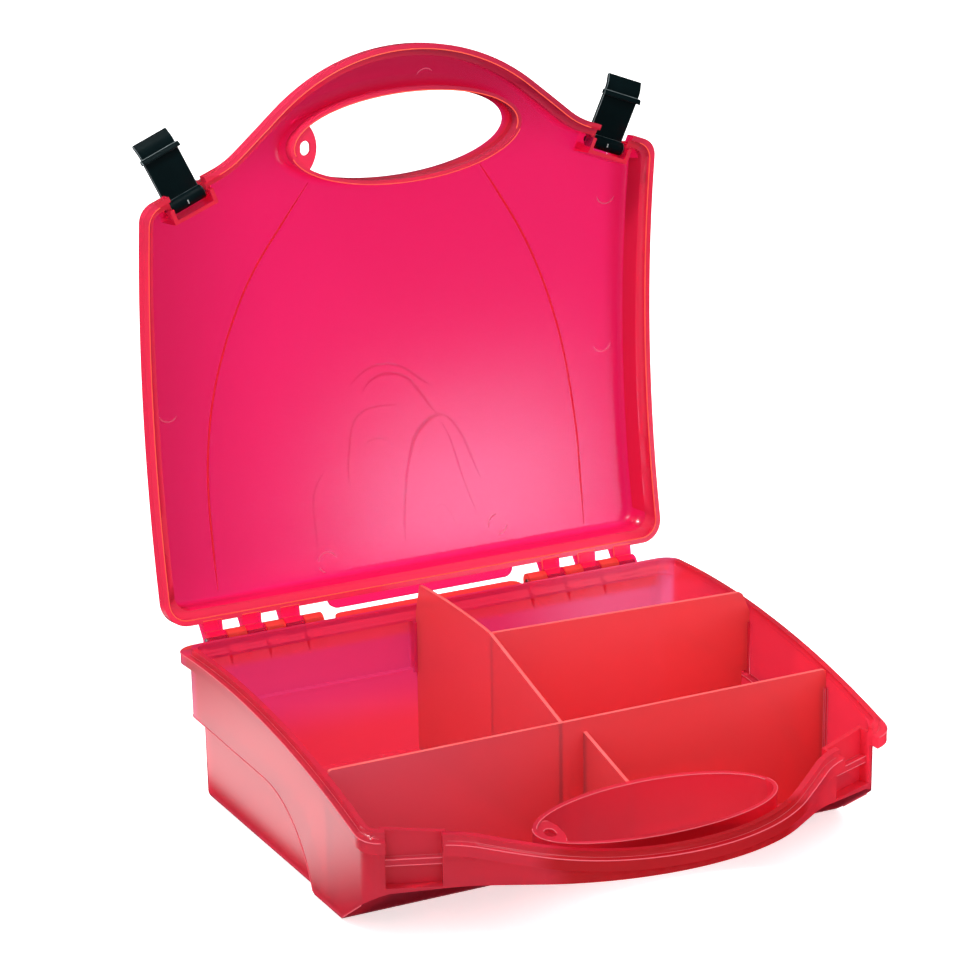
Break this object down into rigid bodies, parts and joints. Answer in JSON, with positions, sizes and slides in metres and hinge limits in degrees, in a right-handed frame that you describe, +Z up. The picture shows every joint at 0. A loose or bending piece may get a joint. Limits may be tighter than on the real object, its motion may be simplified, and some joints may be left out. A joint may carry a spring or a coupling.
{
  "type": "art supply box",
  "caption": "Hinged translucent plastic carry case with an arched grip, an oval finger hole, snap latches and a tray split by lift-out dividers.",
  "frame": {"origin": "middle of the flat underside that the tray stands on", "axes": "+Z up, +X to the right as seen from the front, -Y to the front, where the grip is; the lid stands open at rest"},
  "size_m": [0.28, 0.3206, 0.3592],
  "materials": {
    "tray_plastic": "translucent red moulded plastic, glossy",
    "lid_plastic": "translucent pinkish red moulded plastic, glossy, with faint flow marks",
    "divider_plastic": "translucent red moulded plastic, glossy, scuffed along the top edges",
    "latch_plastic": "black moulded plastic with a slight green cast, satin",
    "pin_steel": "bright drawn wire"
  },
  "bodies": {
    "tray": {"base_shell": "tray_plastic", "left_hinge_pin": "pin_steel", "right_hinge_pin": "pin_steel", "front_divider": "divider_plastic", "centre_partition": "divider_plastic", "right_divider": "divider_plastic", "front_partition": "divider_plastic"},
    "lid": {"lid_shell": "lid_plastic"},
    "left_latch": {"left_latch": "latch_plastic"},
    "right_latch": {"right_latch": "latch_plastic"}
  },
  "joints": [
    {"name": "lid_hinge", "type": "hinge", "parent": "tray", "child": "lid", "pos_m": [0, 0.0995, 0.07418], "axis": [1, 0, 0], "range_deg": [0, 98]},
    {"name": "left_latch_pivot", "type": "hinge", "parent": "lid", "child": "left_latch", "pos_m": [-0.1149, 0.11867, 0.29401], "axis": [0.9293, 0.0514, 0.3656], "range_deg": [0, 97]},
    {"name": "right_latch_pivot", "type": "hinge", "parent": "lid", "child": "right_latch", "pos_m": [0.1149, 0.11867, 0.29401], "axis": [0.9293, -0.0514, -0.3656], "range_deg": [-20, 77]}
  ]
}
